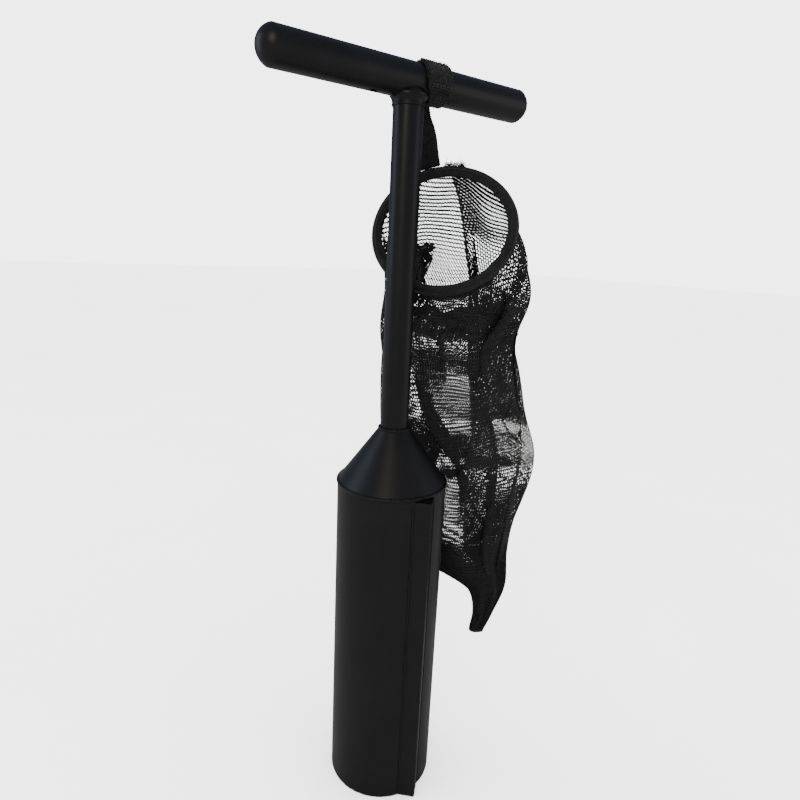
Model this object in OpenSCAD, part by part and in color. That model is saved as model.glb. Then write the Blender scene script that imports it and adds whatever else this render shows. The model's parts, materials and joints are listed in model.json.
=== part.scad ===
// Sand coring tube (clam gun style) with a T handle and a mesh catch bag.
// +Z runs up the tube, the origin is the centre of the barrel's bottom rim,
// X runs along the handle and the vent channel is on the -Y side.

/* [Barrel] */
// Outside diameter of the barrel
barrel_od = 114.3; // [100:0.1:125]
// Length of the barrel
barrel_len = 355.6; // [300:0.1:420]
// Wall of the barrel, the cone and the channel
sheet = 1.6; // [1.2:0.1:2.5]
// Height of the cone on top of the barrel
cone_h = 57.2; // [45:0.1:75]
// Radius of the weld beads on barrel and cone
bead_r = 2.1; // [1.5:0.1:2.5]

/* [Vent channel] */
// Distance of the channel's outer corner from the barrel's axis
channel_reach = 68.6; // [66:0.1:72]
// Angle at the axis from the channel's middle to one foot
channel_foot_deg = 13; // [11:0.5:15]

/* [Neck and handle] */
// Outside diameter of the neck tube
neck_od = 28.6; // [25.4:0.1:32]
// Wall of the neck tube and the handle tube
tube_wall = 1.8; // [1.4:0.1:2.5]
// Bare length of the neck between cone and handle
neck_len = 311; // [280:1:340]
// Outside diameter of the handle tube
handle_od = 31.8; // [30:0.1:34]
// Length of the handle over its end caps
handle_len = 292.1; // [280:0.1:320]
// Height of a domed end cap
cap_dome = 11; // [8:0.5:14]
// Diameter of the thumb vent in the underside of the left arm
thumb_vent_d = 9; // [7:0.5:11]
// Distance of the thumb vent from the neck's axis
thumb_vent_x = 40; // [34:1:60]

/* [Strap] */
// Width of the hook and loop strap
strap_w = 28; // [22:1:30]
// Distance of the strap's middle from the neck's axis
strap_x = 22; // [22:1:26]
// Thickness of one layer of the strap
strap_t = 1.5; // [1:0.1:1.8]
// Gap between the strap and the handle
strap_gap = 0.3; // [0.3:0.05:0.5]

/* [Hoop] */
// Radius of the hoop wire's centre line across the mouth
hoop_a = 70.2; // [68:0.1:72]
// Radius of the hoop wire's centre line from the strap to the far side
hoop_b = 62.4; // [61:0.1:64]
// Radius of the hoop wire
wire_r = 2.2; // [1.8:0.1:2.5]
// Outside radius of the fabric binding round the hoop
binding_r = 5.6; // [5.2:0.1:5.8]
// Turn of the hoop's mouth about the vertical
hoop_turn = 36; // [33:1:39]
// Lean of the hoop's mouth from the horizontal
hoop_lean = 70; // [68:1:72]

/* [Net bag] */
// Direction in which the bag hangs off the tube
bag_turn = 53.4; // [52:0.1:55]
// Wall that stands for the knitted net
net_t = 1.2; // [0.8:0.1:1.5]

/* [Hidden] */

steel = [0.07, 0.07, 0.075];
webbing = [0.03, 0.03, 0.03];
binding_black = [0.05, 0.05, 0.055];
net_black = [0.12, 0.12, 0.12];
thread = [0.1, 0.1, 0.1];

fine = 96;
barrel_r = barrel_od / 2;
neck_r = neck_od / 2;
neck_bore = neck_r - tube_wall;
handle_r = handle_od / 2;
handle_bore = handle_r - tube_wall;
cone_top_z = barrel_len + cone_h;
cone_top_r = neck_r + sheet;
handle_z = cone_top_z + neck_len + handle_r;
tube_half = handle_len / 2 - cap_dome;
cap_plug = 12;
neck_tuck = 6;
weld_reach = 3.4;
weld_hollow = 9;

foot_x = barrel_r * sin(channel_foot_deg);
foot_y = -barrel_r * cos(channel_foot_deg);
channel_top = barrel_len - bead_r - 0.2;
weld_stop = 3;
foot_bead = 2;
root_gap = 0.8;

wrap_r = handle_r + strap_gap;
flap_r = wrap_r + strap_t;
flap_from = 100;
flap_to = 205;

// Horizontal unit vectors: away from the tube, and to the bag's broad side.
away = [cos(bag_turn), sin(bag_turn), 0];
side = [sin(bag_turn), -cos(bag_turn), 0];
function place(side_mm, away_mm, z) = side_mm * side + away_mm * away + [0, 0, z];

// Axes of a cross-section that is turned about Z and leant back from the horizontal.
function across(turn) = [sin(turn), -cos(turn), 0];
function along(turn, lean) = [cos(turn) * cos(lean), sin(turn) * cos(lean), sin(lean)];

hoop_c = place(40, 32.5, 612);
hoop_n = cross(across(hoop_turn), along(hoop_turn, hoop_lean)) * -1;
foot_deg = 109;
function hoop_point(deg) = hoop_c + hoop_a * cos(deg) * across(hoop_turn)
    + hoop_b * sin(deg) * along(hoop_turn, hoop_lean);

// The strap is sewn to the top of the binding; the hoop tilts about this line.
foot_step = hoop_point(foot_deg + 2) - hoop_point(foot_deg - 2);
foot_axis = foot_step / norm(foot_step);
foot_gap = 1.2;
foot_c = hoop_point(foot_deg) + (binding_r + foot_gap) * cross(hoop_n, foot_axis);
mouth_gap = binding_r + 0.7;

// The bag's cross-sections from the hoop to the tip:
// [side, away, height, half width, half depth, turn, lean].
mouth = [hoop_c * side, hoop_c * away, hoop_c[2]]
    + mouth_gap * [hoop_n * side, hoop_n * away, hoop_n[2]];
sections = [
    [mouth[0], mouth[1], mouth[2], hoop_a, hoop_b, hoop_turn, hoop_lean],
    [54, 52, 562, 74, 48, 44, 56],
    [56, 66, 505, 75, 37, 50, 36],
    [66, 79, 430, 82, 28, 53.4, 16],
    [73, 84, 370, 89, 23, 53.4, 4],
    [74, 83, 300, 82, 20, 53.4, 0],
    [84, 80, 235, 63, 17, 53.4, 0],
    [122, 76, 182, 21, 9, 53.4, 0],
    [115, 75, 126, 8, 5, 53.4, 0]];
last_section = len(sections) - 1;

// A smooth curve through the sections.
function section_at(k) = let(
    i = min(floor(k), last_section - 1),
    t = k - i,
    p0 = sections[max(i - 1, 0)],
    p1 = sections[i],
    p2 = sections[i + 1],
    p3 = sections[min(i + 2, last_section)])
    0.5 * (2 * p1 + (p2 - p0) * t + (2 * p0 - 5 * p1 + 4 * p2 - p3) * t * t
    + (3 * p1 - p0 - 3 * p2 + p3) * t * t * t);
function bag_point(k, deg, inset) = let(q = section_at(k))
    place(q[0], q[1], q[2]) + (q[3] - inset) * cos(deg) * across(q[5])
    + (q[4] - inset) * sin(deg) * along(q[5], q[6]);

bag_sides = 36;
bag_rows = 24;
net_rows = [0, 8, 13, 17];
seam_deg = 82;
seam_gap = 0.4;

// Joins rings of points, each with n points, into one skin of triangles.
// The rings turn clockwise as seen along their order, and a closed skin has no ends.
module skin(rings, n, closed = false) {
    count = len(rings);
    points = [for (ring = rings) each ring];
    strips = closed ? count : count - 1;
    walls = [for (i = [0:strips - 1], j = [0:n - 1]) let(
        k = (i + 1) % count,
        m = (j + 1) % n)
        each [[i * n + j, k * n + j, i * n + m], [i * n + m, k * n + j, k * n + m]]];
    ends = closed ? [] : [for (j = [1:n - 2])
        each [[0, j, j + 1],
            [(count - 1) * n, (count - 1) * n + j + 1, (count - 1) * n + j]]];
    polyhedron(points, concat(walls, ends), convexity = 6);
}

// Points of a round section at an angle round the hoop, at the angles in list, in order.
function hoop_ring(deg, r, list) = let(
    c = hoop_point(deg),
    d = hoop_point(deg + 1) - hoop_point(deg - 1),
    e = cross(hoop_n, d / norm(d)))
    [for (a = list) c + r * cos(a) * e + r * sin(a) * hoop_n];
round_sides = 10;
whole = [for (j = [0:round_sides - 1]) 360 * j / round_sides];

module barrel_tube() {
    color(steel)
    difference() {
        cylinder(h = barrel_len, r = barrel_r, $fn = fine);
        translate([0, 0, -1])
        cylinder(h = barrel_len + 2, r = barrel_r - sheet, $fn = fine);
    }
}

// The channel is open at the bottom and closed by a folded end at the top.
module vent_channel() {
    fold = sheet * sqrt(2);
    color(steel)
    difference() {
        linear_extrude(channel_top)
        difference() {
            polygon([[-foot_x, foot_y], [-0.6, -channel_reach + 0.6], [0.6, -channel_reach + 0.6],
                [foot_x, foot_y]]);
            circle(r = barrel_r, $fn = fine);
        }
        translate([0, 0, -1])
        linear_extrude(channel_top - sheet + 1)
        polygon([[-foot_x + fold, foot_y + 4], [-foot_x + fold, foot_y],
            [0, -channel_reach + fold], [foot_x - fold, foot_y], [foot_x - fold, foot_y + 4]]);
    }
}

// A bead along one foot of the channel, short of both ends; s is -1 on the left and 1 on the right.
module channel_weld(s) {
    color(steel)
    translate([0, 0, weld_stop])
    linear_extrude(channel_top - 2 * weld_stop)
    difference() {
        translate([s * foot_x, foot_y])
        circle(r = foot_bead, $fn = 32);
        circle(r = barrel_r, $fn = fine);
        polygon([[s * foot_x, foot_y], [0, -channel_reach], [-s * foot_x, foot_y], [0, 0],
            [s * foot_x, 0]]);
    }
}

module cone_reducer() {
    color(steel)
    rotate_extrude($fn = fine)
    difference() {
        polygon([[barrel_r - sheet, barrel_len], [barrel_r, barrel_len],
            [cone_top_r, cone_top_z], [neck_r, cone_top_z], [neck_r, cone_top_z - neck_tuck]]);
        translate([0, barrel_len - root_gap])
        square([barrel_r - root_gap, 2 * root_gap]);
    }
}

module cone_base_weld() {
    color(steel)
    rotate_extrude($fn = fine)
    difference() {
        translate([barrel_r - 0.7, barrel_len])
        circle(r = bead_r, $fn = 32);
        polygon([[0, barrel_len - 20], [barrel_r, barrel_len - 20], [barrel_r, barrel_len],
            [cone_top_r, cone_top_z], [0, cone_top_z]]);
    }
}

module cone_top_weld() {
    color(steel)
    rotate_extrude($fn = fine)
    difference() {
        translate([neck_r + 0.9, cone_top_z + 0.4])
        circle(r = bead_r, $fn = 32);
        polygon([[0, barrel_len], [barrel_r, barrel_len], [cone_top_r, cone_top_z],
            [neck_r, cone_top_z], [neck_r, cone_top_z + 10], [0, cone_top_z + 10]]);
    }
}

// A bar along the handle's axis.
module handle_bar(r, x0, x1) {
    translate([x0, 0, handle_z])
    rotate([0, 90, 0])
    cylinder(h = x1 - x0, r = r, $fn = fine);
}

module neck_tube() {
    color(steel)
    difference() {
        translate([0, 0, cone_top_z - neck_tuck])
        cylinder(h = handle_z - cone_top_z + neck_tuck, r = neck_r, $fn = fine);
        translate([0, 0, cone_top_z - neck_tuck - 1])
        cylinder(h = handle_z, r = neck_bore, $fn = fine);
        handle_bar(handle_r, -40, 40);
    }
}

module handle_tube() {
    color(steel)
    difference() {
        handle_bar(handle_r, -tube_half, tube_half);
        handle_bar(handle_bore, -tube_half - 1, tube_half + 1);
        translate([0, 0, handle_z - handle_od])
        cylinder(h = handle_od, r = neck_bore, $fn = fine);
        translate([-thumb_vent_x, 0, handle_z - handle_od])
        cylinder(h = handle_od, r = thumb_vent_d / 2, $fn = 48);
    }
}

// The coped weld between neck and handle, with a hollow flank.
module handle_weld() {
    toe_z = cone_top_z + neck_len - 6.5;
    color(steel)
    difference() {
        rotate_extrude($fn = fine)
        difference() {
            polygon([[neck_r, toe_z], [neck_r + 1, toe_z], [neck_r + 1.2, toe_z + 1.6],
                [neck_r + weld_reach, toe_z + 7.5], [neck_r + weld_reach, toe_z + 10],
                [neck_r, toe_z + 15]]);
            translate([neck_r + 1 + weld_hollow, toe_z + 2])
            circle(r = weld_hollow, $fn = 64);
        }
        handle_bar(handle_r, -40, 40);
    }
}

// A domed cap with a plug that sits in the handle tube; s is -1 or 1.
module end_cap(s) {
    ball = (handle_r * handle_r + cap_dome * cap_dome) / (2 * cap_dome);
    color(steel)
    translate([s * tube_half, 0, handle_z])
    rotate([0, s * 90, 0])
    union() {
        rotate_extrude($fn = fine)
        intersection() {
            translate([0, cap_dome - ball])
            circle(r = ball, $fn = fine);
            square([handle_r, cap_dome]);
        }
        translate([0, 0, -cap_plug])
        cylinder(h = cap_plug, r = handle_bore, $fn = fine);
    }
}

// A band round the handle between two angles, counted from +Y over the top.
module band(r, t, from, to) {
    translate([strap_x - strap_w / 2, 0, handle_z])
    rotate([0, 90, 0])
    rotate([0, 0, 90 + from])
    rotate_extrude(angle = to - from, $fn = fine)
    translate([r, 0])
    square([t, strap_w]);
}

// The wrap's edge is pushed aside where it meets the neck and its weld.
module strap_wrap() {
    color(webbing)
    difference() {
        band(wrap_r, strap_t, 0, 360);
        translate([0, 0, handle_z - handle_od])
        cylinder(h = handle_od, r = neck_r + weld_reach + 0.6, $fn = fine);
    }
}

module strap_flap() {
    color(webbing)
    band(flap_r, strap_t, flap_from, flap_to);
}

// Two rows of stitches near the flap's end.
module flap_end_stitch() {
    color(thread)
    for (row = [0:1], i = [0:5])
        translate([strap_x - strap_w / 2 + 4 + 4 * i, 0, handle_z])
        rotate([flap_to - 8 - 5 * row, 0, 0])
        translate([0, flap_r + strap_t, -0.4])
        cube([2.4, 0.5, 0.8]);
}

// The strap's free end, from the handle's back to the hoop: [centre, turn, tilt] of its width.
tail_w = strap_w - 3;
tail_gap = 0.9;
tail_back = flap_r + tail_gap + strap_t / 2;
function tail_on_handle(x, deg, turn) =
    [[x, tail_back * cos(deg), handle_z + tail_back * sin(deg)], turn, 0];
tail_stations = [
    tail_on_handle(strap_x, 10, 0),
    tail_on_handle(strap_x, -14, 0),
    tail_on_handle(strap_x + 1, -38, 2),
    [[strap_x + 4, 17.4, 718], 10, 2],
    [[strap_x + 10, 19.4, 707], 22, 6],
    [[strap_x + 16, 22.6, 696], 34, 10],
    [[strap_x + 22, 27, 686], 44, 14],
    [foot_c, 48, 16]];
stitch_station = 5;

// Width direction and outward normal of a swept strap at one station.
function strap_frame(stations, i) = let(
    n = len(stations),
    turn = stations[i][1],
    tilt = stations[i][2],
    d = stations[min(i + 1, n - 1)][0] - stations[max(i - 1, 0)][0],
    u = [cos(turn) * cos(tilt), -sin(turn) * cos(tilt), sin(tilt)],
    v = cross(u, d))
    [u, v / norm(v)];

// Corners of a flat strip at one station, from one height above its middle to another.
function strap_ring(stations, i, w, low, high, shift = [0, 0, 0]) = let(
    c = stations[i][0] + shift,
    f = strap_frame(stations, i))
    [c - f[0] * w / 2 + f[1] * high, c + f[0] * w / 2 + f[1] * high,
    c + f[0] * w / 2 + f[1] * low, c - f[0] * w / 2 + f[1] * low];

module strap_tail() {
    color(webbing)
    skin([for (i = [0:len(tail_stations) - 1])
        strap_ring(tail_stations, i, tail_w, -strap_t / 2, strap_t / 2)], 4);
}

// A bar tack across the foot of the tail.
module tail_stitch() {
    i = stitch_station;
    d = tail_stations[i + 1][0] - tail_stations[i - 1][0];
    color(thread)
    skin([for (s = [-1, 1])
        strap_ring(tail_stations, i, tail_w - 7, strap_t / 2 + 0.4, strap_t / 2 + 0.9,
            s * d / norm(d))], 4);
}

wire_steps = 48;

module hoop_wire() {
    color("dimgray")
    skin([for (i = [0:wire_steps - 1]) hoop_ring(360 * i / wire_steps, wire_r, whole)],
        round_sides, true);
}

// The ferrule that joins the wire's two ends, at the side away from the strap.
module hoop_ferrule() {
    from = 34;
    to = 37;
    outer = [for (i = [from:to]) hoop_ring(360 * i / wire_steps, wire_r + 0.8, whole)];
    inner = [for (i = [to:-1:from]) hoop_ring(360 * i / wire_steps, wire_r + 0.05, whole)];
    color("silver")
    skin(concat(outer, inner), round_sides, true);
}

// The binding is open along a slit that faces the bag, where the net's edge is sewn in.
module hoop_binding() {
    slit = 14;
    steps = 10;
    list = [for (j = [0:steps]) 90 + slit + j * (360 - 2 * slit) / steps];
    back = [for (j = [steps:-1:0]) list[j]];
    color(binding_black)
    skin([for (i = [0:wire_steps - 1]) concat(
        hoop_ring(360 * i / wire_steps, binding_r, list),
        hoop_ring(360 * i / wire_steps, wire_r + 1.1, back))],
        2 * steps + 2, true);
}

// One length of the net, an open tube from one row to another.
module net_length(from, to) {
    color(net_black)
    skin(concat(
        [for (i = [to:-1:from]) [for (j = [0:bag_sides - 1])
            bag_point(i * last_section / bag_rows, 360 * j / bag_sides, 0)]],
        [for (i = [from:to]) [for (j = [0:bag_sides - 1])
            bag_point(i * last_section / bag_rows, 360 * j / bag_sides, net_t)]]),
        bag_sides, true);
}

// The lowest length, closed at the tip.
module net_tip() {
    from = net_rows[3];
    bottom_in = last_section - 0.12;
    color(net_black)
    skin(concat(
        [for (i = [bag_rows:-1:from]) [for (j = [0:bag_sides - 1])
            bag_point(i * last_section / bag_rows, 360 * j / bag_sides, 0)]],
        [for (i = [from:bag_rows]) [for (j = [0:bag_sides - 1])
            bag_point(min(i * last_section / bag_rows, bottom_in), 360 * j / bag_sides, net_t)]]),
        bag_sides);
}

// The seam down the bag's back, from the hoop to the tip.
module bag_side_seam() {
    half = 2.2;
    color(thread)
    skin([for (i = [1:bag_rows - 1]) let(
        k = i * last_section / bag_rows,
        a = bag_point(k, seam_deg + half, -seam_gap),
        b = bag_point(k, seam_deg - half, -seam_gap),
        c = bag_point(k, seam_deg - half, -seam_gap - 1.4),
        d = bag_point(k, seam_deg + half, -seam_gap - 1.4))
        [d, c, b, a]], 4);
}

// The sewn end of the bag, below its last section.
module bag_bottom_seam() {
    q = sections[last_section];
    color(thread)
    translate(place(q[0], q[1], q[2] - 2.2))
    rotate([0, 0, q[5] - 90])
    cube([2 * q[3], 4, 3], center = true);
}

// The seam's loose end where it leaves the binding.
module seam_tuft() {
    c = hoop_point(86);
    color(net_black)
    translate(c + binding_r * along(hoop_turn, hoop_lean) + [0, 0, 4.4])
    rotate([0, 0, hoop_turn - 90])
    rotate([0, 14, 0])
    cube([20, 4, 5], center = true);
}

barrel_tube();
vent_channel();
channel_weld(-1);  // channel_weld_left
channel_weld(1);  // channel_weld_right
cone_reducer();
cone_base_weld();
cone_top_weld();
neck_tube();
handle_tube();
handle_weld();
end_cap(-1);  // left_end_cap
end_cap(1);  // right_end_cap
strap_wrap();
strap_flap();
flap_end_stitch();
strap_tail();
tail_stitch();
hoop_wire();
hoop_ferrule();
hoop_binding();
net_length(net_rows[0], net_rows[1]);  // net_upper
net_length(net_rows[1], net_rows[2]);  // net_middle
net_length(net_rows[2], net_rows[3]);  // net_lower
net_tip();
bag_side_seam();
bag_bottom_seam();
seam_tuft();
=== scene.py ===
"""Looks of the sand coring tube: powder-coated tool, strap, ribbed hoop and knitted net bag."""
import json
import math

import bpy
import numpy as np
from mathutils import Matrix, Vector


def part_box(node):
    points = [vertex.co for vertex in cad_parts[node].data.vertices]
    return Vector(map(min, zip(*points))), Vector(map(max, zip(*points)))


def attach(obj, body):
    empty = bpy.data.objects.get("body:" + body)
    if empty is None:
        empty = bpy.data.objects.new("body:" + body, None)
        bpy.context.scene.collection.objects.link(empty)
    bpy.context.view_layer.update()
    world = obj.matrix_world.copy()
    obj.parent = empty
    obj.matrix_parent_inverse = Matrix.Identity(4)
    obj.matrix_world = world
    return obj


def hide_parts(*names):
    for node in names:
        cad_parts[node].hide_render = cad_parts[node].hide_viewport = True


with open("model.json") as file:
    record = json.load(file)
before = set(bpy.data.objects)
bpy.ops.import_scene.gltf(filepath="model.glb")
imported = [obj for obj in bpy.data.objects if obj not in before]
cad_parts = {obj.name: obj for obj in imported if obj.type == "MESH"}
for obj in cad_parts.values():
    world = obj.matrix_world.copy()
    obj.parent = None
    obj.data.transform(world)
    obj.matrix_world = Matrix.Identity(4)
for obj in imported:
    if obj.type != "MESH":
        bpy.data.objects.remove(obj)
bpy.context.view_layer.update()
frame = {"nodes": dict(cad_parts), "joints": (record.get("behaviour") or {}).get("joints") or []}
MM = 0.001

# ---------------------------------------------------------------- the frame's own sizes, millimetres
_, barrel_high = (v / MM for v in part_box("barrel_tube"))
_, neck_high = (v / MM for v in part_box("neck_tube"))
handle_low, handle_high = (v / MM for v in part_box("handle_tube"))
_, cone_high = (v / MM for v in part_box("cone_reducer"))
wrap_low, wrap_high = (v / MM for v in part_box("strap_wrap"))
channel_low, channel_high = (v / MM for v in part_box("vent_channel"))
barrel_r = barrel_high.x
barrel_top = barrel_high.z
cone_top = cone_high.z
neck_r = neck_high.x
handle_r = (handle_high.z - handle_low.z) / 2
handle_z = (handle_high.z + handle_low.z) / 2
foot_x = channel_high.x
foot_y = -math.sqrt(barrel_r ** 2 - foot_x ** 2)
strap_x = (wrap_low.x + wrap_high.x) / 2
strap_w = wrap_high.x - wrap_low.x
wrap_r = (wrap_high.z - wrap_low.z) / 2
joints = {j["name"]: j for j in frame["joints"]}
foot_c = np.array(joints["hoop_tilt"]["pos_m"]) / MM
foot_axis = -np.array(joints["hoop_tilt"]["axis"])

# ---------------------------------------------------------------- hoop and bag, laid out as in the CAD
BAG_TURN = 53.4
HOOP_A, HOOP_B = 70.2, 62.4
HOOP_TURN, HOOP_LEAN = 36.0, 70.0
BINDING_R = 5.6
NET_START = 4.6


def unit(v):
    return v / np.linalg.norm(v, axis=-1, keepdims=True)


def across(turn):
    """Level direction across a turn about the vertical, in degrees."""
    t = np.radians(turn)
    return np.stack([np.sin(t), -np.cos(t), 0 * t], axis=-1)


def along(turn, lean):
    """Direction of a turn about the vertical that also leans upwards, in degrees."""
    t, rise = np.radians(turn), np.radians(lean)
    return np.stack([np.cos(t) * np.cos(rise), np.sin(t) * np.cos(rise), np.sin(rise)], axis=-1)


AWAY = along(np.float64(BAG_TURN), np.float64(0))
SIDE = across(np.float64(BAG_TURN))


def place(side_mm, away_mm, z):
    """A point by its distance sideways and away from the tube, as the bag hangs, and its height."""
    side_mm, away_mm, z = (np.asarray(v, float) for v in (side_mm, away_mm, z))
    up = np.array([0, 0, 1.0])
    return side_mm[..., None] * SIDE + away_mm[..., None] * AWAY + z[..., None] * up


HOOP_Z = 612
hoop_c = place(40, 32.5, HOOP_Z)
hoop_u = across(np.float64(HOOP_TURN))
hoop_v = along(np.float64(HOOP_TURN), np.float64(HOOP_LEAN))
hoop_n = -np.cross(hoop_u, hoop_v)
mouth = hoop_c + NET_START * hoop_n

# Cross-sections of the hanging net: side, away, height, half width, half depth, turn, lean.
SECTIONS = np.array([
    [mouth @ SIDE, mouth @ AWAY, mouth[2], HOOP_A, HOOP_B, HOOP_TURN, HOOP_LEAN],
    [54, 52, 562, 74, 48, 44, 56],
    [56, 66, 505, 75, 37, 50, 36],
    [66, 79, 430, 82, 28, 53.4, 16],
    [73, 84, 370, 89, 23, 53.4, 4],
    [74, 83, 300, 82, 20, 53.4, 0],
    [84, 80, 235, 63, 17, 53.4, 0],
    [122, 76, 182, 21, 9, 53.4, 0],
    [115, 75, 126, 8, 5, 53.4, 0]])
LAST = len(SECTIONS) - 1


def section_at(k):
    """Catmull-Rom curve through the sections, as in the CAD source."""
    k = np.asarray(k, float)
    i = np.minimum(np.floor(k).astype(int), LAST - 1)
    t = (k - i)[..., None]
    p0, p1 = SECTIONS[np.maximum(i - 1, 0)], SECTIONS[i]
    p2, p3 = SECTIONS[i + 1], SECTIONS[np.minimum(i + 2, LAST)]
    return 0.5 * (2 * p1 + (p2 - p0) * t + (2 * p0 - 5 * p1 + 4 * p2 - p3) * t * t
                  + (3 * p1 - p0 - 3 * p2 + p3) * t * t * t)


def hoop_point(deg):
    """A point on the hoop wire's centre line."""
    t = np.radians(np.asarray(deg, float))
    return hoop_c + HOOP_A * np.cos(t)[..., None] * hoop_u + HOOP_B * np.sin(t)[..., None] * hoop_v


# ---------------------------------------------------------------- camera, first of all
def make_camera():
    eye = Vector((-0.34765, -0.47651, 0.59221))
    forward = Vector((0.5776, 0.7784, -0.2461)).normalized()
    right = Vector((0.8091, -0.5860, 0.0454)).normalized()
    up = right.cross(forward)
    turn = Matrix((right, up, -forward)).transposed()
    data = bpy.data.cameras.new("camera")
    data.sensor_width = 36
    data.lens = 26.76
    data.clip_start = 0.01
    camera = bpy.data.objects.new("camera", data)
    camera.matrix_world = Matrix.Translation(eye) @ turn.to_4x4()
    bpy.context.scene.collection.objects.link(camera)
    bpy.context.scene.camera = camera


make_camera()


# ---------------------------------------------------------------- materials
def new_material(name):
    mat = bpy.data.materials.new(name)
    mat.use_nodes = True
    return mat, mat.node_tree.nodes, mat.node_tree.links


def noise(nodes, links, scale, detail=2.0, rough=0.5):
    coord = nodes.get("coord") or nodes.new("ShaderNodeTexCoord")
    coord.name = "coord"
    tex = nodes.new("ShaderNodeTexNoise")
    tex.inputs["Scale"].default_value = scale
    tex.inputs["Detail"].default_value = detail
    tex.inputs["Roughness"].default_value = rough
    links.new(coord.outputs["Object"], tex.inputs["Vector"])
    return tex


def ramp(nodes, links, source, stops):
    """A two-stop colour ramp; a stop's colour is one grey or three channels."""
    node = nodes.new("ShaderNodeValToRGB")
    elements = node.color_ramp.elements
    for e, (at, colour) in zip(elements, stops):
        e.position = at
        e.color = (*colour, 1) if len(colour) == 3 else (*colour * 3, 1)
    links.new(source, node.inputs["Fac"])
    return node


def bump(nodes, links, height, strength, distance, below=None):
    node = nodes.new("ShaderNodeBump")
    node.inputs["Strength"].default_value = strength
    node.inputs["Distance"].default_value = distance
    links.new(height, node.inputs["Height"])
    if below:
        links.new(below.outputs["Normal"], node.inputs["Normal"])
    return node


def powder_coat():
    """Satin black powder coat: fine orange peel, faint cloudiness, a little wear at the bottom rim."""
    mat, nodes, links = new_material("powder_coat")
    shader = nodes["Principled BSDF"]
    cloud = noise(nodes, links, 14, 4, 0.6)
    peel = noise(nodes, links, 900, 2)
    grain = noise(nodes, links, 2600, 2)
    colour = ramp(nodes, links, cloud.outputs["Fac"],
                  [(0.3, (0.0014, 0.0014, 0.0015)), (0.7, (0.0024, 0.0023, 0.0022))])
    gloss = ramp(nodes, links, cloud.outputs["Fac"], [(0.25, (0.36,)), (0.75, (0.45,))])
    links.new(gloss.outputs["Color"], shader.inputs["Roughness"])
    # wear: bare steel in specks on the last few millimetres of the rim
    split = nodes.new("ShaderNodeSeparateXYZ")
    links.new(nodes["coord"].outputs["Object"], split.inputs["Vector"])
    height = nodes.new("ShaderNodeMapRange")
    height.inputs["From Min"].default_value = 0.0
    height.inputs["From Max"].default_value = 0.004
    height.inputs["To Min"].default_value = 0.62
    height.inputs["To Max"].default_value = 0.0
    links.new(split.outputs["Z"], height.inputs["Value"])
    scuff = noise(nodes, links, 420, 3, 0.7)
    add = nodes.new("ShaderNodeMath")
    add.operation = "ADD"
    links.new(height.outputs["Result"], add.inputs[0])
    links.new(scuff.outputs["Fac"], add.inputs[1])
    mask = ramp(nodes, links, add.outputs["Value"], [(0.98, (0.0,)), (1.0, (1.0,))])
    mix = nodes.new("ShaderNodeMix")
    mix.data_type = "RGBA"
    links.new(mask.outputs["Color"], mix.inputs["Factor"])
    links.new(colour.outputs["Color"], mix.inputs["A"])
    mix.inputs["B"].default_value = (0.06, 0.057, 0.053, 1)
    links.new(mix.outputs["Result"], shader.inputs["Base Color"])
    fine = bump(nodes, links, grain.outputs["Fac"], 0.12, 0.0001)
    coarse = bump(nodes, links, peel.outputs["Fac"], 0.16, 0.0002, fine)
    links.new(coarse.outputs["Normal"], shader.inputs["Normal"])
    shader.inputs["Specular IOR Level"].default_value = 0.22
    return mat


def woven(name, dark, light, weave_scale, rough, strength, sheen):
    """Black textile: crossed fine ribs from two wave textures, blotchy colour and a soft sheen."""
    mat, nodes, links = new_material(name)
    shader = nodes["Principled BSDF"]
    blotch = noise(nodes, links, 160, 4, 0.65)
    fuzz = noise(nodes, links, 2200, 3, 0.7)
    colour = ramp(nodes, links, blotch.outputs["Fac"], [(0.3, dark), (0.75, light)])
    links.new(colour.outputs["Color"], shader.inputs["Base Color"])
    waves = []
    for direction in ("DIAGONAL", "Z"):
        wave = nodes.new("ShaderNodeTexWave")
        wave.bands_direction = direction
        wave.inputs["Scale"].default_value = weave_scale
        wave.inputs["Distortion"].default_value = 1.2
        wave.inputs["Detail"].default_value = 1.0
        links.new(nodes["coord"].outputs["Object"], wave.inputs["Vector"])
        waves.append(wave)
    first = bump(nodes, links, waves[0].outputs["Fac"], strength, 0.0004)
    second = bump(nodes, links, waves[1].outputs["Fac"], strength, 0.0004, first)
    third = bump(nodes, links, fuzz.outputs["Fac"], strength, 0.0003, second)
    links.new(third.outputs["Normal"], shader.inputs["Normal"])
    shader.inputs["Roughness"].default_value = rough
    shader.inputs["Specular IOR Level"].default_value = 0.12
    shader.inputs["Sheen Weight"].default_value = sheen
    shader.inputs["Sheen Roughness"].default_value = 0.5
    return mat


def plain_steel(name, colour, rough):
    mat, nodes, links = new_material(name)
    shader = nodes["Principled BSDF"]
    streak = noise(nodes, links, 700, 3)
    tone = ramp(nodes, links, streak.outputs["Fac"],
                [(0.3, tuple(c * 0.8 for c in colour)), (0.7, colour)])
    links.new(tone.outputs["Color"], shader.inputs["Base Color"])
    scratch = bump(nodes, links, streak.outputs["Fac"], 0.1, 0.0001)
    links.new(scratch.outputs["Normal"], shader.inputs["Normal"])
    shader.inputs["Metallic"].default_value = 1.0
    shader.inputs["Roughness"].default_value = rough
    return mat


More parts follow.
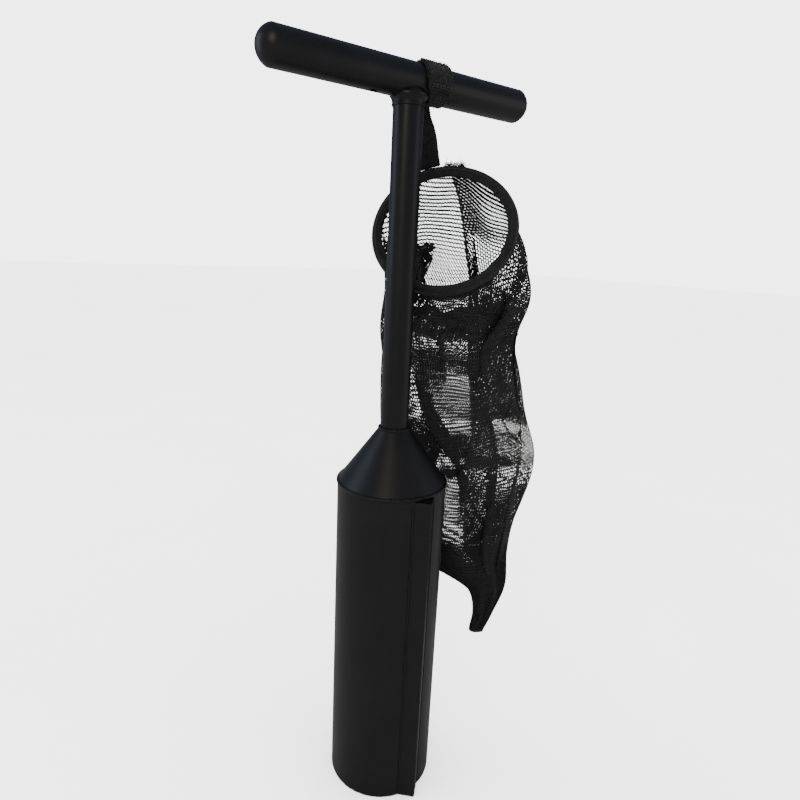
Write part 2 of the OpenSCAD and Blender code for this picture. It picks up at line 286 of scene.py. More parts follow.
coat = powder_coat()
net_mat = woven("net_thread", dark=(0.002, 0.002, 0.0022), light=(0.005, 0.005, 0.0055),
                weave_scale=900, rough=0.75, strength=0.15, sheen=0.02)
strap_mat = woven("strap_web", dark=(0.0012, 0.0012, 0.0012), light=(0.0035, 0.0034, 0.0032),
                  weave_scale=260, rough=0.85, strength=0.5, sheen=0.03)
binding_mat = woven("binding_tape", dark=(0.0015, 0.0015, 0.0017), light=(0.0045, 0.0045, 0.005),
                    weave_scale=420, rough=0.6, strength=0.35, sheen=0.03)
stitch_mat = woven("thread", dark=(0.005, 0.005, 0.005), light=(0.012, 0.012, 0.012),
                   weave_scale=1400, rough=0.6, strength=0.3, sheen=0.05)
wire_mat = plain_steel("hoop_steel", (0.42, 0.42, 0.43), 0.35)

NET_NODES = ("net_upper", "net_middle", "net_lower", "net_tip")
STEEL_NODES = ("barrel_tube", "vent_channel", "cone_reducer", "neck_tube", "handle_tube",
               "handle_weld", "left_end_cap", "right_end_cap")
for node_name, node_object in frame["nodes"].items():
    finish = strap_mat
    if node_name in STEEL_NODES or "weld" in node_name:
        finish = coat
    elif "stitch" in node_name:
        finish = stitch_mat
    elif node_name in ("hoop_wire", "hoop_ferrule"):
        finish = wire_mat
    elif node_name in NET_NODES + ("seam_tuft", "bag_side_seam", "bag_bottom_seam"):
        finish = net_mat
    elif node_name == "hoop_binding":
        finish = binding_mat
    node_object.data.materials.clear()
    node_object.data.materials.append(finish)


# ---------------------------------------------------------------- mesh helpers
def make(name, points, faces, material, body, stands_for=()):
    """A smooth mesh piece from points in millimetres and faces of equal size, riding on a body."""
    points = np.asarray(points, float).reshape(-1, 3) * MM
    faces = np.asarray(faces, np.int32)
    sides = faces.shape[1]
    mesh = bpy.data.meshes.new(name)
    mesh.vertices.add(len(points))
    mesh.vertices.foreach_set("co", points.astype(np.float32).ravel())
    mesh.loops.add(faces.size)
    mesh.loops.foreach_set("vertex_index", faces.ravel())
    mesh.polygons.add(len(faces))
    mesh.polygons.foreach_set("loop_start", np.arange(0, faces.size, sides, dtype=np.int32))
    mesh.polygons.foreach_set("use_smooth", np.ones(len(faces), bool))
    mesh.update(calc_edges=True)
    mesh.materials.append(material)
    obj = bpy.data.objects.new(name, mesh)
    bpy.context.scene.collection.objects.link(obj)
    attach(obj, body)
    if stands_for:
        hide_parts(*stands_for)
    return obj


def grid_faces(rows, cols, close_rows=False, close_cols=True):
    i = np.arange(rows if close_rows else rows - 1)[:, None]
    j = np.arange(cols if close_cols else cols - 1)[None, :]
    i2, j2 = (i + 1) % rows, (j + 1) % cols
    quad = [i * cols + j, i * cols + j2, i2 * cols + j2, i2 * cols + j]
    return np.stack([np.broadcast_to(q, (len(i), j.shape[1])).ravel() for q in quad], axis=1)


def sweep(path, radii, sides, closed=False, guide=(0, 0, 1)):
    """Points of a tube: path (n,3), radii (n,sides) or (n,); its first side points along guide."""
    path = np.asarray(path, float)
    n = len(path)
    if closed:
        tangent = unit(np.roll(path, -1, 0) - np.roll(path, 1, 0))
    else:
        tangent = unit(np.gradient(path, axis=0))
    guide = np.broadcast_to(np.asarray(guide, float), path.shape)
    e = unit(guide - (guide * tangent).sum(1, keepdims=True) * tangent)
    f = np.cross(tangent, e)
    radii = np.asarray(radii, float)
    if radii.ndim < 2:
        radii = np.broadcast_to(radii.reshape(-1, 1), (n, sides))
    a = np.linspace(0, 2 * np.pi, sides, endpoint=False)
    spoke = np.cos(a)[None, :, None] * e[:, None] + np.sin(a)[None, :, None] * f[:, None]
    return path[:, None] + radii[..., None] * spoke


def threads(name, strands, radius, sides, material, body, stands_for=()):
    """Many thin open tubes in one piece. Each strand is a list of points."""
    points, faces, base = [], [], 0
    for strand in strands:
        ring = sweep(strand, np.full(len(strand), radius), sides, guide=(0.31, 0.27, 0.91))
        points.append(ring.reshape(-1, 3))
        faces.append(grid_faces(len(strand), sides) + base)
        base += len(strand) * sides
    return make(name, np.concatenate(points), np.concatenate(faces), material, body, stands_for)


# ---------------------------------------------------------------- weld beads
def ripple(turns, phase, sharp=1.6):
    """The scales of a weld bead: each rises quickly and falls slowly."""
    t = (turns + phase) % 1.0
    return np.power(np.sin(np.pi * np.power(t, 1 / sharp)), 1.2)


def ring_bead(name, radius, z, bead_r, pitch, knobs, stands_for):
    """A closed bead round the tool's axis with scale marks and a few knobs."""
    steps = 540
    sides = 14
    a = np.linspace(0, 2 * np.pi, steps, endpoint=False)
    rng = np.random.default_rng(len(name) * 7)
    wander = sum(rng.normal(0, 0.1) * np.sin(m * a + rng.uniform(0, 6)) for m in range(2, 9))
    count = round(2 * np.pi * radius / pitch)
    r = bead_r * (0.86 + 0.16 * ripple(count * a / (2 * np.pi), 0.0)) + 0.25 * wander * bead_r
    for at, size in knobs:
        gap = (np.degrees(a) - at + 180) % 360 - 180
        r = r + size * np.exp(-(gap * radius * np.pi / 180 / 1.6) ** 2)
    path = np.stack([radius * np.cos(a), radius * np.sin(a), z + 0.25 * wander], axis=1)
    ring = sweep(path, r[:, None] * np.ones(sides), sides, closed=True)
    faces = grid_faces(steps, sides, close_rows=True)
    return make(name, ring, faces, coat, "tool", stands_for)


def line_bead(name, x, stands_for):
    """A bead up one foot of the vent channel, sunk so that only a low ridge shows."""
    steps, sides = 700, 10
    z = np.linspace(channel_low.z + 3.2, channel_high.z - 3.2, steps)
    rng = np.random.default_rng(11 if x > 0 else 12)
    wander = sum(rng.normal(0, 0.05) * np.sin(m * z / 40 + rng.uniform(0, 6)) for m in range(1, 9))
    ends = np.clip(np.minimum(z - z[0], z[-1] - z) / 2.5, 0.05, 1) ** 0.5
    r = (1.25 + 0.16 * ripple(z / 2.6, 0.3) + wander) * ends
    path = np.stack([np.full(steps, x * 1.0), np.full(steps, foot_y * 0.999), z], axis=1)
    ring = sweep(path, r[:, None] * np.ones(sides), sides, guide=(0, 1, 0))
    return make(name, ring, grid_faces(steps, sides), coat, "tool", stands_for)


ring_bead("cone_base_bead", barrel_r - 0.7, barrel_top, 1.9, 3.0,
          [(262, 0.7), (251, 0.45), (233, 0.4), (214, 0.35), (300, 0.5), (30, 0.5)],
          ("cone_base_weld",))
ring_bead("cone_top_bead", neck_r + 0.9, cone_top + 0.4, 1.7, 2.6,
          [(240, 0.5), (290, 0.3)], ("cone_top_weld",))
line_bead("left_foot_bead", -foot_x, ("channel_weld_left",))
line_bead("right_foot_bead", foot_x, ("channel_weld_right",))
neck_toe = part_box("handle_weld")[0].z / MM
ring_bead("neck_weld_toe", neck_r + 0.1, neck_toe + 1.4, 1.1, 2.4, [(245, 0.3), (262, 0.3)], ())


# ---------------------------------------------------------------- hoop binding
RIDGE = 0.75


def hoop_binding():
    """Ribbed tape folded over the wire: ridges run along the hoop, fine ribs run across it."""
    steps, sides = 360, 54
    deg = np.linspace(0, 360, steps, endpoint=False)
    path = hoop_point(deg)
    a = np.linspace(0, 2 * np.pi, sides, endpoint=False)
    ridges = RIDGE * np.power(np.abs(np.cos(4 * a + 0.3)), 1.5)
    rng = np.random.default_rng(5)
    wander = sum(rng.normal(0, 0.10) * np.sin(m * np.radians(deg) + rng.uniform(0, 6))
                 for m in range(3, 14))
    ribs = 0.07 * np.sin(np.radians(deg) * 150)
    r = BINDING_R - RIDGE + ridges[None, :] + wander[:, None] * (0.5 + 0.5 * np.cos(a))[None, :]
    r = r + ribs[:, None]
    ring = sweep(path, np.minimum(r, BINDING_R + 0.25), sides, closed=True, guide=hoop_n)
    faces = grid_faces(steps, sides, close_rows=True)
    return make("hoop_binding_tape", ring, faces, binding_mat, "net", ("hoop_binding",))


hoop_binding()

# ---------------------------------------------------------------- knitted net
# The grid: rows down the bag, fine steps round a row, and wales (columns) of the knit.
ROWS = 300
FINE = 1080
COLUMNS = 320
# The knit, in millimetres: spacing of courses, their zigzag where pulled open and where slack,
# half width and height of a yarn, and how much wider it is where slack.
COURSE = 4.1
ZIG = 0.75
ZIG_FRONT, ZIG_BACK = 1.05, 1.9
COURSE_R = (1.4, 0.5)
COURSE_SLACK = 1.07
LINK_R = (0.34, 0.3)
LINK_SLACK = 2.1
# How far the courses run downhill round the bag, and over what length.
SLOPE_DROP = 46
SLOPE_RUN = 50
# Height below the hoop over which the knit goes slack.
SLACK_RUN = 60
GIRTH_MM = 460
GIRTH_PULL = 0.72
LEVEL_K = 2.6
COURSE_JITTER = 0.16
FRONT_SHARE, FRONT_BLEND = 0.27, 0.04

# Waves round the bag: height, count round, turn per section, phase.
WAVES = ((3.2, 3, 1.9, 0), (2.4, 5, -2.7, 1.0), (1.6, 8, 1.2, 2.0))
# The left wall's cave just under the hoop and the right wall's bulge: height, angle, width, and
# where they lie on the bag as (section, spread).
CAVE_DEPTH, CAVE_DEG, CAVE_WIDTH, CAVE_AT = 60, 220, 26, (0.42, 0.32)
BULGE, BULGE_WIDTH, BULGE_OUT, BULGE_IN = 7, 30, (1.0, 0.35), (1.9, 0.4)

# Pleats in the hanging net: from (row, angle) to (row, angle), half width, overlap, lift.
PLEATS = [
    ((0.45, 238), (1.45, 292), 17, 1.25, 6),
    ((0.10, 206), (1.20, 226), 12, 1.5, 6),
    ((0.15, 226), (0.95, 240), 9, 1.3, 4),
    ((0.60, 328), (2.40, 294), 13, 1.3, 6),
    ((2.30, 236), (4.60, 277), 10, 1.25, 5),
    ((3.60, 280), (5.40, 276), 6, 1.2, 4),
    ((3.20, 330), (6.60, 322), 8, 1.35, 5),
    ((4.90, 300), (6.70, 300), 6, 1.2, 3),
    ((1.60, 345), (3.30, 338), 8, 1.3, 5),
    ((1.30, 262), (2.60, 266), 5, 0.9, 3),
    ((0.80, 76), (2.30, 66), 5, 1.0, 3),
    ((2.20, 120), (4.60, 100), 9, 1.2, 5),
    ((3.50, 60), (6.20, 48), 9, 1.2, 5),
    ((0.50, 20), (2.20, 28), 8, 1.2, 5),
    ((4.60, 140), (6.50, 110), 8, 1.2, 4)]


def bell(x, at, spread):
    return np.exp(-((x - at) / spread) ** 2)


def seam_deg(k):
    """The angle of the side seam at section k."""
    return np.interp(k, [0, 0.5, 1.1, 1.6, 3, LAST], [91, 86, 82, 75, 74, 82])


def net_surface(k, theta):
    """A point of the net's cloth at row k and angle theta, pleats and waves included."""
    t2, lift = np.array(theta, float), np.zeros_like(theta, dtype=float)
    for (k0, c0), (k1, c1), half, overlap, height in PLEATS:
        t = (k - k0) / (k1 - k0)
        env = np.where((t > 0) & (t < 1), np.sin(np.pi * np.clip(t, 0, 1)) ** 0.6, 0)
        centre = c0 + (c1 - c0) * t
        x = ((theta - centre + 180) % 360 - 180) / half
        g = np.where(np.abs(x) < 1, np.sin(np.pi * x) * (1 - x * x), 0)
        t2 -= half * overlap * env * g
        lift += height * env * g
    q = section_at(k)
    ct, st = np.cos(np.radians(t2)), np.sin(np.radians(t2))
    u, v = across(q[..., 5]), along(q[..., 5], q[..., 6])
    flat = np.stack([ct * q[..., 4], st * q[..., 3]], axis=-1)
    flat = flat / np.linalg.norm(flat, axis=-1, keepdims=True)
    normal = flat[..., :1] * u + flat[..., 1:] * v
    th = np.radians(theta)
    grip = np.clip(k / 0.5, 0, 1) * np.clip((LAST - k) / 1.5, 0.1, 1)
    wave = grip * sum(high * np.sin(count * th + turn * k + phase)
                      for high, count, turn, phase in WAVES)
    gap = (theta - CAVE_DEG + 180) % 360 - 180
    cave = CAVE_DEPTH * bell(gap, 0, CAVE_WIDTH) * bell(k, *CAVE_AT) * np.clip(k / 0.12, 0, 1)
    right = (theta + 180) % 360 - 180
    bulge = BULGE * bell(right, 0, BULGE_WIDTH) * (bell(k, *BULGE_OUT) - 0.8 * bell(k, *BULGE_IN))
    point = place(q[..., 0], q[..., 1], q[..., 2])
    point = point + (q[..., 3] * ct)[..., None] * u + (q[..., 4] * st)[..., None] * v
    return point + (lift + wave - cave + bulge)[..., None] * normal


def net_grid():
    """Rows of equally spaced columns round the bag from the seam, and their lengths down it."""
    ks = np.linspace(0, LAST, ROWS)
    turn = np.linspace(0, 360, FINE + 1)
    k = np.repeat(ks[:, None], FINE + 1, axis=1)
    rings = net_surface(k, seam_deg(k) - turn[None, :])
    grid = np.empty((ROWS, COLUMNS, 3))
    at = np.arange(COLUMNS) / COLUMNS
    for i, ring in enumerate(rings):
        length = np.concatenate([[0], np.cumsum(np.linalg.norm(np.diff(ring, axis=0), axis=1))])
        for axis in range(3):
            grid[i, :, axis] = np.interp(at * length[-1], length, ring[:, axis])
    # lengths down every column, on the bag's smooth shape
    kk = np.repeat(ks[:, None], COLUMNS, axis=1)
    theta = np.radians(seam_deg(kk) - 360 * at[None, :])
    q = section_at(kk)
    plain = (place(q[..., 0], q[..., 1], q[..., 2])
             + (q[..., 3] * np.cos(theta))[..., None] * across(q[..., 5])
             + (q[..., 4] * np.sin(theta))[..., None] * along(q[..., 5], q[..., 6]))
    run = np.diff(plain, axis=0)
    step = np.abs(run[..., 2]) + 0.25 * np.linalg.norm(run, axis=2)
    down = np.concatenate([np.zeros((1, COLUMNS)), np.cumsum(step / 1.25, axis=0)])
    return grid, down


net, net_down = net_grid()
NET_LENGTH = net_down[-1, 0]
LEVEL_ROW = int(ROWS * LEVEL_K / LAST)
d_row = np.gradient(net, axis=0)
d_col = (np.roll(net, -1, 1) - np.roll(net, 1, 1)) / 2
net_normal = unit(np.cross(d_row, d_col) + 1e-9)


def net_at(length, column, what):
    """The grid's value at lengths down the bag, at whole columns."""
    row = np.empty(length.shape)
    for c in np.unique(column):
        row[column == c] = np.interp(length[column == c], net_down[:, c], np.arange(ROWS))
    r0 = np.clip(np.floor(row).astype(int), 0, ROWS - 2)
    t = (row - r0)[..., None]
    return what[r0, column] * (1 - t) + what[r0 + 1, column] * t


def course_offset(column):
    """How far the courses lie down each column: level below the hoop, downhill right of the seam."""
    share = column / COLUMNS
    level = net_down[LEVEL_ROW, column.astype(int) % COLUMNS] - net_down[LEVEL_ROW, 0]
    return level + SLOPE_DROP * (1 - np.exp(-share * GIRTH_MM * GIRTH_PULL / SLOPE_RUN))


def net_threads():
    """Zigzag courses joined by short links, as one lattice of points, normals, and which are in use."""
    column = np.arange(COLUMNS + 1) % COLUMNS
    offset = course_offset(np.arange(COLUMNS + 1).astype(float))
    first = -int(offset.max() / COURSE) - 2
    count = int((NET_LENGTH - offset.min()) / COURSE) + 3 - first
    j = np.arange(count)[:, None]
    rng = np.random.default_rng(21)
    jitter = rng.normal(0, COURSE_JITTER, (count, COLUMNS + 1))
    level = (first + j) * COURSE + offset[None, :]
    lower = ((np.arange(COLUMNS + 1)[None, :] + j) % 2 == 1)
    col = np.broadcast_to(column[None, :], level.shape)
    # the back's slack meshes open into diamonds, so the two walls don't line up
    share = np.arange(COLUMNS + 1) / COLUMNS
    front = np.clip((FRONT_SHARE - np.abs(share - 0.5)) / FRONT_BLEND, 0, 1)[None, :]
    loose = ZIG_BACK + (ZIG_FRONT - ZIG_BACK) * front
    zigzag = ZIG + (loose - ZIG) * slack(net_at(level, col, net[..., 2:3])[..., 0])
    length = level + np.where(lower, zigzag, -zigzag) + jitter
    points = net_at(length, col, net)
    normals = unit(net_at(length, col, net_normal))
    valid = (length >= 0) & (length <= net_down[-1][column][None, :])
    return points, normals, valid, lower


def slack(z):
    """0 where the knit is pulled open at the hoop, 1 where it hangs slack."""
    return np.clip((HOOP_Z - z) / SLACK_RUN, 0, 1)


def yarn_profile(side, normal, wide, thick):
    """Three points across a yarn, a low ridge that faces away from the bag."""
    return np.stack([-wide * side, thick * normal, wide * side], axis=-2)


def links_between(points, normals, pairs_a, pairs_b):
    """Yarns between pairs of lattice points, one piece each."""
    a, b = points[pairs_a], points[pairs_b]
    n = unit(normals[pairs_a] + normals[pairs_b] + 1e-9)
    side = unit(np.cross(n, unit(b - a + 1e-9)) + 1e-9)
    wide = LINK_R[0] * (1 + (LINK_SLACK - 1) * slack(a[:, 2:3]))
    ring = yarn_profile(side, n, wide, LINK_R[1])
    pts = np.concatenate([a[:, None] + ring, b[:, None] + ring], axis=1).reshape(-1, 3)
    base = np.arange(len(a))[:, None] * 6
    return pts, np.concatenate([base + np.array([[s, s + 1, s + 4, s + 3]]) for s in range(2)])


def course_yarns(points, normals, valid, lo, hi):
    """Continuous yarns along every course, between two columns."""
    p, n = points[:, lo:hi + 1], normals[:, lo:hi + 1]
    ok = valid[:, lo:hi + 1]
    side = unit(np.cross(n, unit(np.gradient(p, axis=1) + 1e-9)) + 1e-9)
    wide = COURSE_R[0] * (1 + (COURSE_SLACK - 1) * slack(p[..., 2:3]))
    pts = p[..., None, :] + yarn_profile(side, n, wide, COURSE_R[1])
    rows, cols = ok.shape
    index = np.arange(rows * cols).reshape(rows, cols) * 3
    use = ok[:, :-1] & ok[:, 1:]
    a, b = index[:, :-1][use][:, None], index[:, 1:][use][:, None]
    quads = [np.hstack([a + s, a + s + 1, b + s + 1, b + s]) for s in range(2)]
    return pts.reshape(-1, 3), np.concatenate(quads)


def drop_unused(points, faces):
    """The same faces with the points that none of them uses left out."""
    used = np.unique(faces)
    new = np.zeros(len(points), np.int64)
    new[used] = np.arange(len(used))
    return points[used], new[faces]


def make_net():
    """Front and back wall of the bag, each one piece of courses and links."""
    points, normals, valid, lower = net_threads()
    rows = points.shape[0]
    cols = COLUMNS + 1
    right_edge, left_edge = COLUMNS // 4, COLUMNS * 3 // 4
    halves = [("net_front", right_edge, left_edge), ("net_back_right", 0, right_edge),
              ("net_back_left", left_edge, COLUMNS)]
    flat = points.reshape(-1, 3)
    flat_n = normals.reshape(-1, 3)
    index = np.arange(rows * cols).reshape(rows, cols)
    made = {}
    for name, lo, hi in halves:
        pts, quads = course_yarns(points, normals, valid, lo, hi)
        link = lower[:-1] & valid[:-1] & valid[1:]
        link[:, :lo] = False
        link[:, hi:] = False
        a, b = index[:-1][link], index[1:][link]
        link_pts, link_quads = links_between(flat, flat_n, a, b)
        made[name] = (np.concatenate([pts, link_pts]), np.concatenate([quads, link_quads + len(pts)]))
    right, left = made["net_back_right"], made["net_back_left"]
    back = (np.concatenate([right[0], left[0]]), np.concatenate([right[1], left[1] + len(right[0])]))
    pieces = []
    for name, (pts, quads) in (("net_back", back), ("net_front", made["net_front"])):
        pts, quads = drop_unused(pts, quads)
        pieces.append(make(name, pts, quads, net_mat, "net",
                           NET_NODES if name == "net_back" else ()))
    return pieces


net_back, net_front = make_net()


# ---------------------------------------------------------------- seams of the bag
def seam_path(lo, hi, count, out=0.3):
    """Points down the side seam, which is the grid's first column."""
    length = np.linspace(lo, hi, count)
    col = np.zeros(count, int)
    return net_at(length, col, net) + out * net_at(length, col, net_normal)


def side_seam():
    """The rolled seam: a flattened cord with an overlock thread wound round it."""
    path = seam_path(6, NET_LENGTH - 2, 420)
    core = sweep(path, np.full(len(path), 0.95), 8, guide=(0, 1, 0))
    fine = seam_path(6, NET_LENGTH - 2, 2400)
    tangent = unit(np.gradient(fine, axis=0))
    e = unit(np.cross(tangent, np.array([0, 1.0, 0])))
    f = np.cross(tangent, e)
    a = np.arange(len(fine)) * 2 * np.pi / 11
    coil = fine + 1.2 * (np.cos(a)[:, None] * e + np.sin(a)[:, None] * f)
    wound = sweep(coil, np.full(len(coil), 0.28), 3)
    pts = np.concatenate([core.reshape(-1, 3), wound.reshape(-1, 3)])
    faces = np.concatenate([grid_faces(len(path), 8), grid_faces(len(coil), 3) + core.shape[0] * 8])
    return make("bag_seam_cord", pts, faces, stitch_mat, "net", ("bag_side_seam",))


side_seam()


def bottom_seam():
    """The sewn end: a folded hem along the bag's lower edge, down to the tip."""
    k = np.concatenate([np.linspace(6.0, 7.0, 40), np.linspace(7.02, LAST - 0.02, 30)])
    path = net_surface(k, np.full(len(k), 180.0))
    tip = net_surface(np.full(9, LAST - 0.02), np.linspace(180, 360, 9))
    path = np.concatenate([path, tip])
    r = np.interp(np.arange(len(path)), [0, 12, 70, len(path)], [0.4, 1.2, 1.2, 0.9])
    ring = sweep(path, r, 8, guide=(0.2, 0.9, 0.3))
    return make("bag_end_hem", ring, grid_faces(len(path), 8), stitch_mat, "net",
                ("bag_bottom_seam",))


bottom_seam()


# ---------------------------------------------------------------- strap
def fuzz(name, centres, normals, count, length, body, seed, spread=0.9):
    """Short curled fibres that stand off a fabric surface, as thin three-sided threads."""
    rng = np.random.default_rng(seed)
    pick = rng.integers(0, len(centres), count)
    p = centres[pick] + rng.normal(0, 0.35, (count, 3))
    d = unit(normals[pick] + rng.normal(0, spread, (count, 3)))
    d = np.where(((d * normals[pick]).sum(1) < 0)[:, None], -d, d)
    bend = rng.normal(0, 0.5, (count, 3))
    reach = length * rng.uniform(0.5, 1.0, (count, 1))
    strands = [np.array([a - 0.2 * n, a + 0.5 * r * v, a + r * v + 0.5 * r * b])
               for a, n, r, v, b in zip(p, normals[pick], reach, d, bend)]
    return threads(name, strands, 0.09, 3, strap_mat, body)


def band(name, radius, thick, from_deg, to_deg, body, stands_for, width=None, seed=3):
    """A band of webbing round the handle; angles count from +Y over the top.

    Gives the points and normals of its outer face, for the fuzz.
    """
    width = width or strap_w
    closed = to_deg - from_deg >= 360
    steps = int((to_deg - from_deg) / 2)
    deg = np.radians(np.linspace(from_deg, to_deg, steps, endpoint=not closed))
    across_count = 34
    x = np.linspace(-0.5, 0.5, across_count)
    rng = np.random.default_rng(seed)
    wave = sum(rng.normal(0, 0.12) * np.sin(m * deg + rng.uniform(0, 6)) for m in range(2, 8))
    ribs = 0.10 * np.cos(np.pi * np.arange(across_count))
    edge = 0.16 * np.exp(-((np.abs(x) - 0.5) / 0.05) ** 2)
    outer = radius + thick - 0.12 + ribs[None, :] * np.cos(deg * 40)[:, None] + edge[None, :]
    outer = np.clip(outer + wave[:, None] * 0.5, radius + 0.6 * thick, radius + thick + 0.3)
    inner = np.full_like(outer, radius)
    xs = np.broadcast_to(x[None, :] * width + strap_x, outer.shape)
    xs = xs + 0.25 * np.sin(deg * 5 + seed)[:, None]
    loop_x = np.concatenate([xs, xs[:, ::-1]], axis=1)
    loop_r = np.concatenate([outer, inner[:, ::-1]], axis=1)
    # under the handle the band keeps off the neck and its weld
    beside = np.sqrt(np.maximum(NECK_CLEAR ** 2 - (loop_r * np.cos(deg)[:, None]) ** 2, 0))
    loop_x = np.where(np.sin(deg)[:, None] < 0, np.maximum(loop_x, beside), loop_x)
    loop_y, loop_z = loop_r * np.cos(deg)[:, None], handle_z + loop_r * np.sin(deg)[:, None]
    pts = np.stack([loop_x, loop_y, loop_z], axis=-1)
    cols = 2 * across_count
    faces = grid_faces(steps, cols, close_rows=closed)
    if not closed:
        ends = []
        for i in range(across_count - 1):
            ends.append([i, i + 1, cols - 2 - i, cols - 1 - i])
            last = (steps - 1) * cols
            ends.append([last + cols - 1 - i, last + cols - 2 - i, last + i + 1, last + i])
        faces = np.concatenate([faces, np.array(ends)])
    make(name, pts, faces, strap_mat, body, stands_for)
    surface = pts[:, :across_count]
    normals = np.stack([0 * outer, np.broadcast_to(np.cos(deg)[:, None], outer.shape),
                        np.broadcast_to(np.sin(deg)[:, None], outer.shape)], axis=-1)
    return surface.reshape(-1, 3), normals.reshape(-1, 3)


WRAP_T = 1.5
FLAP_T = 1.5
NECK_CLEAR = 18.6
wrap_p, wrap_n = band("strap_loop", wrap_r - WRAP_T, WRAP_T, 0, 360, "strap", ("strap_wrap",))
flap_p, flap_n = band("strap_closure", wrap_r, FLAP_T, 100, 205, "strap", ("strap_flap",),
                      strap_w - 1, 8)
fuzz("strap_fuzz", np.concatenate([wrap_p, flap_p]), np.concatenate([wrap_n, flap_n]),
     5200, 0.9, "strap", 31)

# The strap's tail: [centre, turn of its width, tilt of its width], as in the CAD.
TAIL_W = strap_w - 3
TAIL_T = 1.5
TAIL_ROWS = 110
TAIL_BACK = wrap_r + 0.9 + TAIL_T / 2


def on_handle(x, deg, turn):
    a = math.radians(deg)
    return [x, TAIL_BACK * math.cos(a), handle_z + TAIL_BACK * math.sin(a), turn, 0]


TAIL = np.array([
    on_handle(strap_x, 10, 0), on_handle(strap_x, -14, 0), on_handle(strap_x + 1, -38, 2),
    [strap_x + 4, 17.4, 718, 10, 2], [strap_x + 10, 19.4, 707, 22, 6],
    [strap_x + 16, 22.6, 696, 34, 10], [strap_x + 22, 27, 686, 44, 14],
    [*foot_c, 48, 16]])


def smooth_rows(rows, count):
    """Catmull-Rom through rows of numbers."""
    n = len(rows)
    t = np.linspace(0, n - 1, count)
    i = np.minimum(np.floor(t).astype(int), n - 2)
    f = (t - i)[:, None]
    p0, p1, p2, p3 = rows[np.maximum(i - 1, 0)], rows[i], rows[i + 1], rows[np.minimum(i + 2, n - 1)]
    return 0.5 * (2 * p1 + (p2 - p0) * f + (2 * p0 - 5 * p1 + 4 * p2 - p3) * f ** 2
                  + (3 * p1 - p0 - 3 * p2 + p3) * f ** 3)


def strap_tail():
    """The strap's hanging end, from the back of the handle down to the hoop."""
    rows = smooth_rows(TAIL, TAIL_ROWS)
    c = rows[:, :3]
    turn, tilt = np.radians(rows[:, 3]), np.radians(rows[:, 4])
    u = np.stack([np.cos(turn) * np.cos(tilt), -np.sin(turn) * np.cos(tilt), np.sin(tilt)], axis=1)
    d = unit(np.gradient(c, axis=0))
    v = unit(np.cross(u, d))
    wide = 30
    x = np.linspace(-0.5, 0.5, wide)
    row = np.arange(len(c))
    rib = 0.1 * np.cos(np.pi * np.arange(wide))[None, :] * np.cos(row * 1.9)[:, None]
    curl = 1.1 * (x[None, :] ** 2 * 4) * np.sin(row / TAIL_ROWS * np.pi)[:, None]
    middle = c[:, None] + x[None, :, None] * TAIL_W * u[:, None]
    front = middle + (TAIL_T / 2 + rib + curl)[..., None] * v[:, None]
    back = middle + (-TAIL_T / 2 - rib + curl)[..., None] * v[:, None]
    pts = np.concatenate([front, back[:, ::-1]], axis=1)
    cols = 2 * wide
    caps = []
    for i in range(wide - 1):
        last = (len(c) - 1) * cols
        caps.append([i + 1, i, cols - 1 - i, cols - 2 - i])
        caps.append([last + i, last + i + 1, last + cols - 2 - i, last + cols - 1 - i])
    faces = np.concatenate([grid_faces(len(c), cols)[:, ::-1], np.array(caps)])
    make("strap_hanging_end", pts, faces, strap_mat, "hanger", ("strap_tail",))
    centres = np.concatenate([front.reshape(-1, 3), back.reshape(-1, 3)])
    normals = np.concatenate([np.broadcast_to(v[:, None], front.shape).reshape(-1, 3),
                              np.broadcast_to(-v[:, None], back.shape).reshape(-1, 3)])
    fuzz("tail_fuzz", centres, normals, 3600, 0.8, "hanger", 32)


strap_tail()


def foot_stitches():
    """Thread whipped between the strap's end and the binding, close to the hoop's tilt line."""
    rng = np.random.default_rng(51)
    down = unit(np.cross(hoop_n, foot_axis))
    down = down * np.sign(down @ (hoop_c - foot_c))
    strands = []
    for x in np.linspace(-10.5, 10.5, 22):
        at = foot_c + (x + rng.normal(0, 0.25)) * foot_axis
        spread = rng.normal(0, 0.3, 3)
        strands.append(np.array([at - 2.2 * down + 1.0 * hoop_n,
                                 at - 0.6 * down + 1.25 * hoop_n + spread * 0.3,
                                 at + 1.0 * down + 0.9 * hoop_n + spread, at + 1.5 * down,
                                 at + 1.0 * down - 0.9 * hoop_n + spread,
                                 at - 0.6 * down - 1.25 * hoop_n, at - 2.2 * down - 1.0 * hoop_n]))
    threads("foot_stitches", strands, 0.22, 5, stitch_mat, "hanger", ())


foot_stitches()


# ---------------------------------------------------------------- frayed end of the seam
def tuft():
    """Loose ends of the net's threads beside the strap, over the top of the hoop."""
    rng = np.random.default_rng(41)
    strands = []
    for _ in range(150):
        start = hoop_point(rng.uniform(80, 97)) + 4.6 * hoop_v + rng.normal(0, 0.9, 3)
        lean = unit(hoop_v * rng.uniform(0.2, 1.0) + hoop_u * rng.uniform(-0.6, 1.4)
                    + rng.normal(0, 0.25, 3))
        reach = rng.uniform(2.5, 7.0)
        curl = rng.normal(0, 1.4, 3)
        strands.append([start - 1.2 * hoop_v, start, start + 0.5 * reach * lean,
                        start + reach * lean + curl])
    threads("seam_frayed_end", strands, 0.22, 4, net_mat, "net", ("seam_tuft",))


tuft()


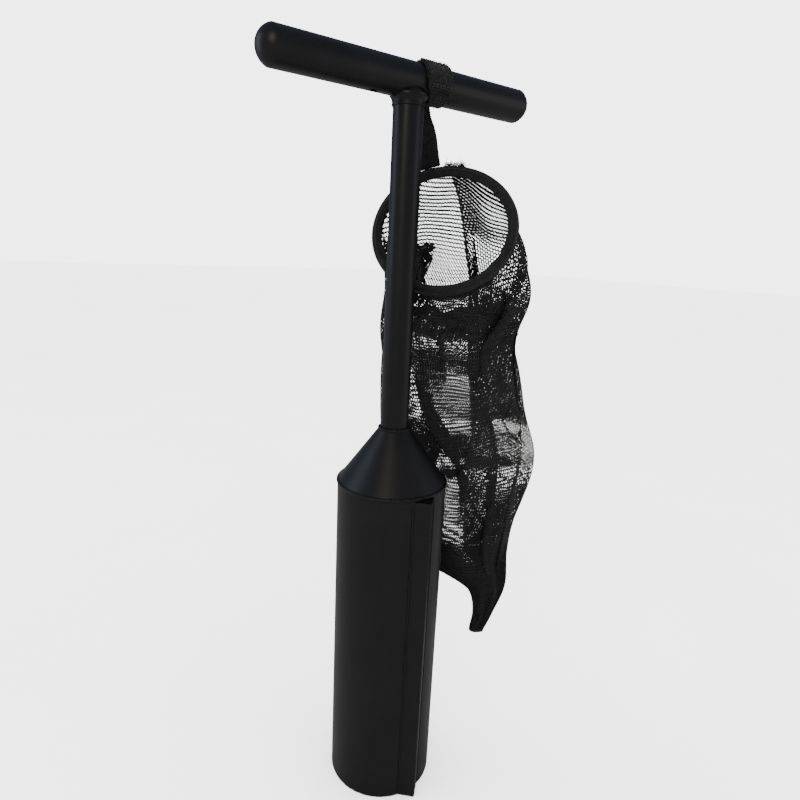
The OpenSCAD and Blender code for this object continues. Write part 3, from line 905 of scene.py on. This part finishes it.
# ---------------------------------------------------------------- floor, light, world
def make_stage():
    mesh = bpy.data.meshes.new("floor")
    s = 14.0
    mesh.from_pydata([(-s, -s, 0), (s, -s, 0), (s, s, 0), (-s, s, 0)], [], [(0, 1, 2, 3)])
    floor = bpy.data.objects.new("floor", mesh)
    bpy.context.scene.collection.objects.link(floor)
    mat, nodes, links = new_material("pale_floor")
    shader = nodes["Principled BSDF"]
    cloud = noise(nodes, links, 3, 3)
    tone = ramp(nodes, links, cloud.outputs["Fac"], [(0.3, (0.86,)), (0.7, (0.89,))])
    links.new(tone.outputs["Color"], shader.inputs["Base Color"])
    shader.inputs["Roughness"].default_value = 0.9
    shader.inputs["Specular IOR Level"].default_value = 0.0
    # the tool's coat mirrors a shaded floor, as between black flags
    shaded = nodes.new("ShaderNodeBsdfDiffuse")
    shaded.inputs["Color"].default_value = (0.12, 0.12, 0.125, 1)
    path = nodes.new("ShaderNodeLightPath")
    mix = nodes.new("ShaderNodeMixShader")
    links.new(path.outputs["Is Glossy Ray"], mix.inputs["Fac"])
    links.new(shader.outputs["BSDF"], mix.inputs[1])
    links.new(shaded.outputs["BSDF"], mix.inputs[2])
    links.new(mix.outputs["Shader"], nodes["Material Output"].inputs["Surface"])
    mesh.materials.append(mat)


def area(name, at, target, size, power, colour):
    data = bpy.data.lights.new(name, "AREA")
    data.shape = "RECTANGLE"
    data.size, data.size_y = size
    data.energy = power
    data.color = colour
    light = bpy.data.objects.new(name, data)
    light.location = at
    light.rotation_euler = (Vector(target) - Vector(at)).to_track_quat("-Z", "Y").to_euler()
    bpy.context.scene.collection.objects.link(light)


def make_world():
    """A bright surround for the view and the floor, and a dim one for the tool's reflections."""
    world = bpy.data.worlds.new("studio")
    bpy.context.scene.world = world
    world.use_nodes = True
    nodes, links = world.node_tree.nodes, world.node_tree.links
    bright = nodes["Background"]
    bright.inputs["Color"].default_value = (1, 1, 1, 1)
    bright.inputs["Strength"].default_value = 4.5
    dim = nodes.new("ShaderNodeBackground")
    dim.inputs["Color"].default_value = (0.62, 0.72, 1.0, 1)
    dim.inputs["Strength"].default_value = 0.35
    path = nodes.new("ShaderNodeLightPath")
    mix = nodes.new("ShaderNodeMixShader")
    links.new(path.outputs["Is Glossy Ray"], mix.inputs["Fac"])
    links.new(bright.outputs["Background"], mix.inputs[1])
    links.new(dim.outputs["Background"], mix.inputs[2])
    links.new(mix.outputs["Shader"], nodes["World Output"].inputs["Surface"])


def around(azimuth, distance, height):
    """A place round the tool; azimuth 0 is the camera's side, and positive is to the camera's right."""
    a = math.radians(-126.6 + azimuth)
    return (distance * math.cos(a), distance * math.sin(a), height)


make_stage()
make_world()
area("key_warm", around(-14, 2.2, 1.7), (0, 0, 0.5), (0.35, 1.2), 22, (1.0, 0.86, 0.66))
area("window_cool", around(-92, 2.0, 1.1), (0, 0, 0.45), (1.0, 1.6), 14, (0.72, 0.82, 1.0))
area("right_fill", around(84, 2.4, 0.8), (0, 0, 0.4), (0.8, 1.4), 7, (1.0, 0.97, 0.93))
